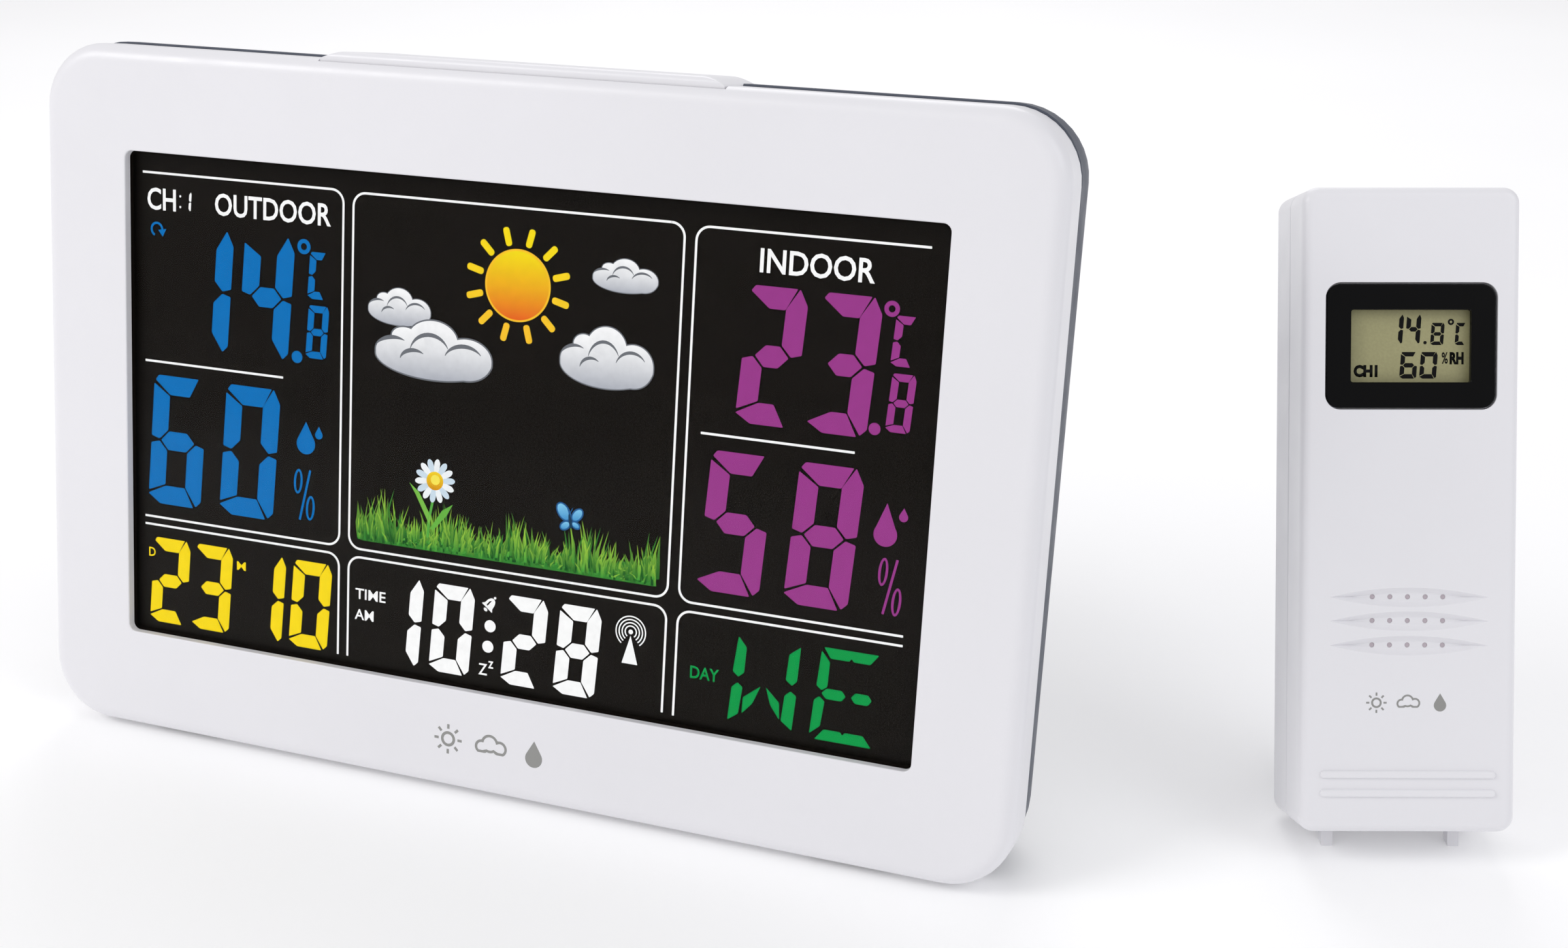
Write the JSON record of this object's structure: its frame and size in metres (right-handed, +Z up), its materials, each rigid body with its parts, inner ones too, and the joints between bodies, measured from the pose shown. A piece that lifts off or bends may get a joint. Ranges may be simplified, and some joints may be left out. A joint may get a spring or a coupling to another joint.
{
  "type": "home weather station",
  "caption": "Desk weather console with a wide colour display leaning on a fold-out leg, and its slim wireless outdoor sensor standing beside it on its own leg.",
  "frame": {"origin": "middle of the footprint of the console and its sensor, on the table they stand on", "axes": "+Z up; the console's display faces -Y and leans back; +X to the right as the reader sees it, towards the sensor"},
  "size_m": [0.2798, 0.0962, 0.1345],
  "materials": {
    "white_shell": "satin moulded plastic",
    "slate_shell": "fine-grained moulded plastic",
    "key_plastic": "satin moulded plastic",
    "clear_lens": "clear acrylic",
    "display_glass": "black display glass with coloured segments",
    "light_guide": "moulded acrylic",
    "inner_frame": "plain moulded plastic",
    "circuit_board": "solder mask on laminate",
    "black_plastic": "smooth black plastic",
    "sensor_glass": "reflective segment display",
    "steel": "nickel-plated",
    "copper": "enamelled copper",
    "ferrite": "ground ferrite",
    "cell_wrap": "printed wrap over a steel can",
    "silicone": "moulded silicone",
    "rubber": "soft moulded rubber"
  },
  "bodies": {
    "console": {"antenna_coil": "copper", "antenna_rod": "ferrite", "buzzer": "black_plastic", "cell_lower": "cell_wrap", "cell_middle": "cell_wrap", "cell_upper": "cell_wrap", "console_leg_pin": "steel", "contacts_left": "steel", "contacts_right": "steel", "controller_chip": "black_plastic", "dc_socket": "black_plastic", "display_lens": "clear_lens", "foot_left": "rubber", "foot_right": "rubber", "front_bezel": "white_shell", "housing_screw_1": "steel", "housing_screw_2": "steel", "housing_screw_3": "steel", "housing_screw_4": "steel", "indoor_probe": "circuit_board", "key_board": "circuit_board", "key_mat": "silicone", "lcd_frame": "inner_frame", "lcd_panel": "display_glass", "lcd_ribbon": "copper", "led_strip": "circuit_board", "light_guide": "light_guide", "main_board": "circuit_board", "radio_receiver": "circuit_board", "rear_housing": "slate_shell", "snooze_switch": "black_plastic"},
    "sensor": {"sensor_antenna": "copper", "sensor_board": "circuit_board", "sensor_cell_left": "cell_wrap", "sensor_cell_right": "cell_wrap", "sensor_chip": "black_plastic", "sensor_contacts_lower": "steel", "sensor_contacts_upper": "steel", "sensor_front_shell": "white_shell", "sensor_lcd": "sensor_glass", "sensor_leg_pin": "steel", "sensor_probe": "circuit_board", "sensor_rear_shell": "white_shell", "sensor_screw": "steel", "sensor_window": "black_plastic"},
    "alarm_key": {"alarm_key": "key_plastic"},
    "battery_door": {"battery_door": "slate_shell"},
    "channel_key": {"channel_key": "key_plastic"},
    "channel_switch": {"channel_switch": "black_plastic"},
    "console_leg": {"console_leg": "slate_shell"},
    "down_key": {"down_key": "key_plastic"},
    "mode_key": {"mode_key": "key_plastic"},
    "sensor_battery_door": {"sensor_battery_door": "white_shell"},
    "sensor_leg": {"sensor_leg": "white_shell"},
    "snooze_key": {"snooze_key": "white_shell"},
    "transmit_key": {"transmit_key": "key_plastic"},
    "unit_key": {"unit_key": "key_plastic"},
    "up_key": {"up_key": "key_plastic"}
  },
  "joints": [
    {"name": "snooze_press", "type": "slide", "parent": "console", "child": "snooze_key", "axis": [0, -0.1736, -0.9848], "range_m": [0, 0.0008], "stiffness_N_per_m": 600},
    {"name": "mode_press", "type": "slide", "parent": "console", "child": "mode_key", "axis": [0, -0.9848, 0.1736], "range_m": [0, 0.0006], "stiffness_N_per_m": 300},
    {"name": "channel_press", "type": "slide", "parent": "console", "child": "channel_key", "axis": [0, -0.9848, 0.1736], "range_m": [0, 0.0006], "stiffness_N_per_m": 300},
    {"name": "up_press", "type": "slide", "parent": "console", "child": "up_key", "axis": [0, -0.9848, 0.1736], "range_m": [0, 0.0006], "stiffness_N_per_m": 300},
    {"name": "down_press", "type": "slide", "parent": "console", "child": "down_key", "axis": [0, -0.9848, 0.1736], "range_m": [0, 0.0006], "stiffness_N_per_m": 300},
    {"name": "alarm_press", "type": "slide", "parent": "console", "child": "alarm_key", "axis": [0, -0.9848, 0.1736], "range_m": [0, 0.0006], "stiffness_N_per_m": 300},
    {"name": "unit_press", "type": "slide", "parent": "console", "child": "unit_key", "axis": [0, -0.9848, 0.1736], "range_m": [0, 0.0006], "stiffness_N_per_m": 300},
    {"name": "battery_door_off", "type": "slide", "parent": "console", "child": "battery_door", "axis": [0, 0.9848, -0.1736], "range_m": [0, 0.03]},
    {"name": "console_leg_fold", "type": "hinge", "parent": "console", "child": "console_leg", "pos_m": [-0.0399, -0.01426, 0.05865], "axis": [1, 0, 0], "range_deg": [-25.97, 0]},
    {"name": "sensor_lift", "type": "slide", "parent": "console", "child": "sensor", "axis": [0, 0, 1], "range_m": [0, 0.15]},
    {"name": "sensor_leg_fold", "type": "hinge", "parent": "sensor", "child": "sensor_leg", "pos_m": [0.11215, 0.0173, 0.03744], "axis": [0.9397, 0.342, 0], "range_deg": [-31.45, 0]},
    {"name": "sensor_door_off", "type": "slide", "parent": "sensor", "child": "sensor_battery_door", "axis": [-0.3214, 0.883, -0.342], "range_m": [0, 0.03]},
    {"name": "channel_slide", "type": "slide", "parent": "sensor", "child": "channel_switch", "axis": [0.9397, 0.342, 0], "range_m": [0, 0.004]},
    {"name": "transmit_press", "type": "slide", "parent": "sensor", "child": "transmit_key", "axis": [0.3214, -0.883, 0.342], "range_m": [0, 0.0005], "stiffness_N_per_m": 200}
  ]
}
